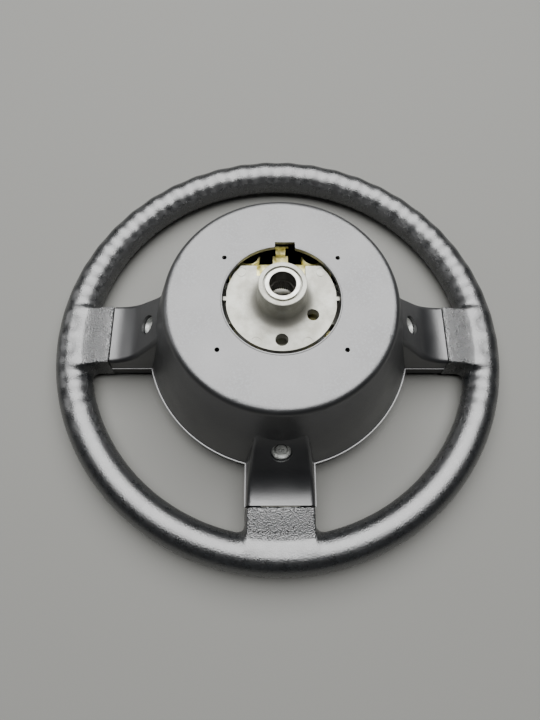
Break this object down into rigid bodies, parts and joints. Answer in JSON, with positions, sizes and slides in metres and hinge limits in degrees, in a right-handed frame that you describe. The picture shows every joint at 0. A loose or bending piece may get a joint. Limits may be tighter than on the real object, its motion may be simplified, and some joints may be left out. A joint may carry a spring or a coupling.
{
  "type": "steering wheel",
  "caption": "Three-spoke padded steering wheel with a deep rear hub cover, cast hub with splined column bore, and a sprung horn pad.",
  "frame": {"origin": "centre of the column bore at the end face of the hub's boss", "axes": "+Z along the bore towards the column, away from the driver; +Y towards 12 o'clock on the wheel; +X to the right seen from the column side"},
  "size_m": [0.38, 0.38, 0.1175],
  "materials": {
    "cover_plastic": "satin black ABS, very fine spark texture",
    "core_steel": "bare mild steel tube",
    "cast_aluminium": "as-cast aluminium, matt",
    "bush_steel": "turned and broached steel",
    "grip_foam": "black self-skinned polyurethane foam, satin, leather grain at the spoke roots",
    "trim_plastic": "matt black ABS",
    "zinc_steel": "bright zinc plated steel",
    "yellow_steel": "yellow passivated zinc on pressed steel",
    "white_nylon": "natural white moulded nylon",
    "spring_steel": "spring wire",
    "contact_brass": "brass contact",
    "black_insulator": "black phenolic",
    "pad_foam": "black self-skinned polyurethane foam, grained"
  },
  "bodies": {
    "wheel": {"rear_cover": "cover_plastic", "rim_core": "core_steel", "hub_casting": "cast_aluminium", "column_bush": "bush_steel", "rim_grip": "grip_foam", "front_trim": "trim_plastic", "cover_screws": "zinc_steel", "cover_washers": "zinc_steel", "trim_screws": "zinc_steel", "horn_bracket": "yellow_steel", "bracket_screws": "zinc_steel", "guide_bushes": "white_nylon", "horn_springs": "spring_steel", "fixed_contacts": "contact_brass", "contact_bracket": "yellow_steel", "contact_insulators": "black_insulator", "contact_rivets": "zinc_steel"},
    "pad": {"horn_pad": "pad_foam", "pad_carrier": "white_nylon", "pad_screws": "zinc_steel", "guide_bolts": "zinc_steel", "contact_blades": "contact_brass", "moving_contacts": "contact_brass", "blade_screws": "zinc_steel"}
  },
  "joints": [
    {"name": "horn_press", "type": "slide", "parent": "wheel", "child": "pad", "axis": [0, 0, 1], "range_m": [0, 0.0025], "stiffness_N_per_m": 10000, "springref_m": -0.002, "deforming": ["horn_springs"]}
  ]
}
